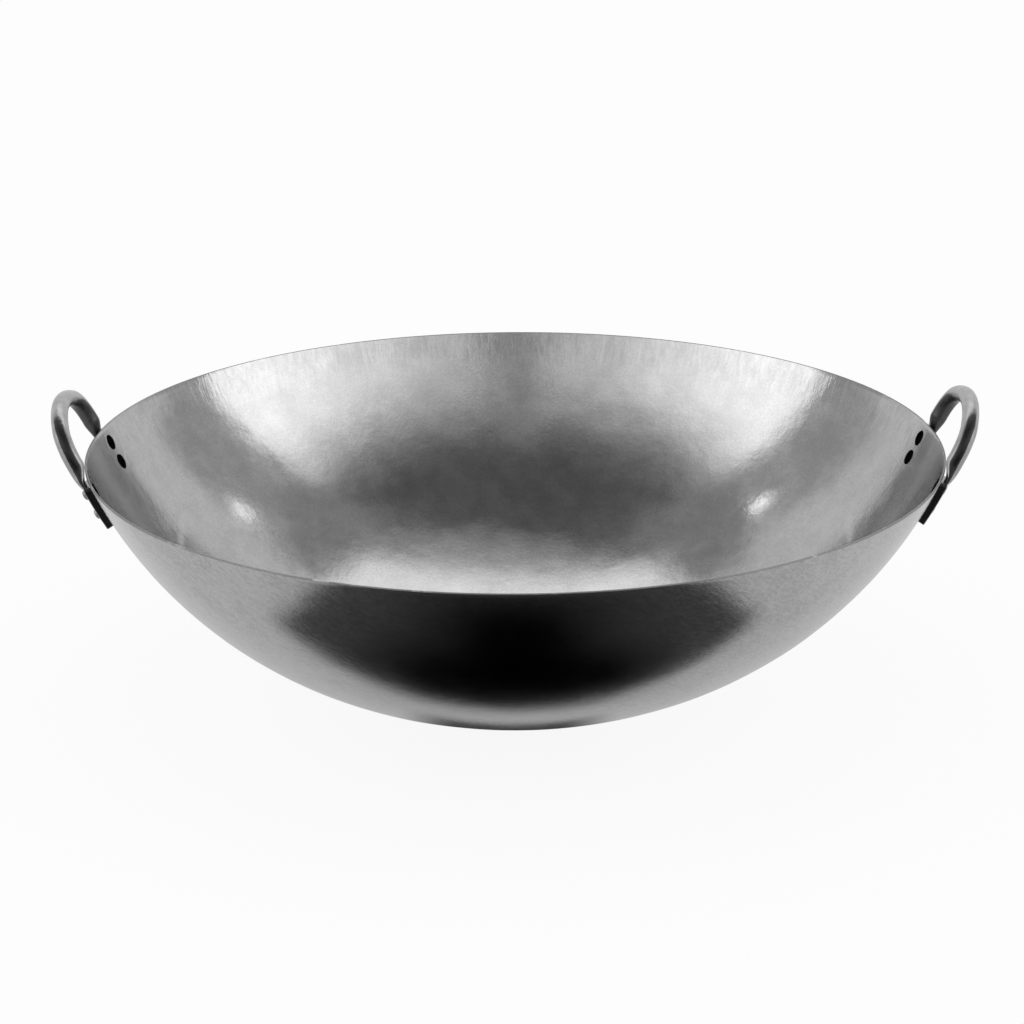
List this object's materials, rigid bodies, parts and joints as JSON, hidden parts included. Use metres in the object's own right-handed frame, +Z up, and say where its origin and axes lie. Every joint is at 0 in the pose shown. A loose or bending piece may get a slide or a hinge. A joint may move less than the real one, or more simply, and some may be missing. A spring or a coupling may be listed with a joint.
{
  "type": "wok",
  "caption": "Large hammered round-bottomed wok with a small flat under it and a riveted loop handle on each side of the rim.",
  "frame": {"origin": "centre of the small flat under the bowl, where the wok rests", "axes": "+Z up, +X towards the right handle, +Y away from the picture's camera"},
  "size_m": [0.6552, 0.6096, 0.2179],
  "materials": {
    "bowl_steel": "bright hammered and brushed carbon steel, lightly oiled",
    "handle_steel": "grey forged steel rod with darker flattened ends",
    "rivet_steel": "near-black hammered steel"
  },
  "bodies": {
    "root": {"bowl": "bowl_steel", "left_handle": "handle_steel", "right_handle": "handle_steel", "left_front_upper_rivet": "rivet_steel", "left_front_lower_rivet": "rivet_steel", "left_back_upper_rivet": "rivet_steel", "left_back_lower_rivet": "rivet_steel", "right_front_upper_rivet": "rivet_steel", "right_front_lower_rivet": "rivet_steel", "right_back_upper_rivet": "rivet_steel", "right_back_lower_rivet": "rivet_steel"}
  },
  "joints": []
}
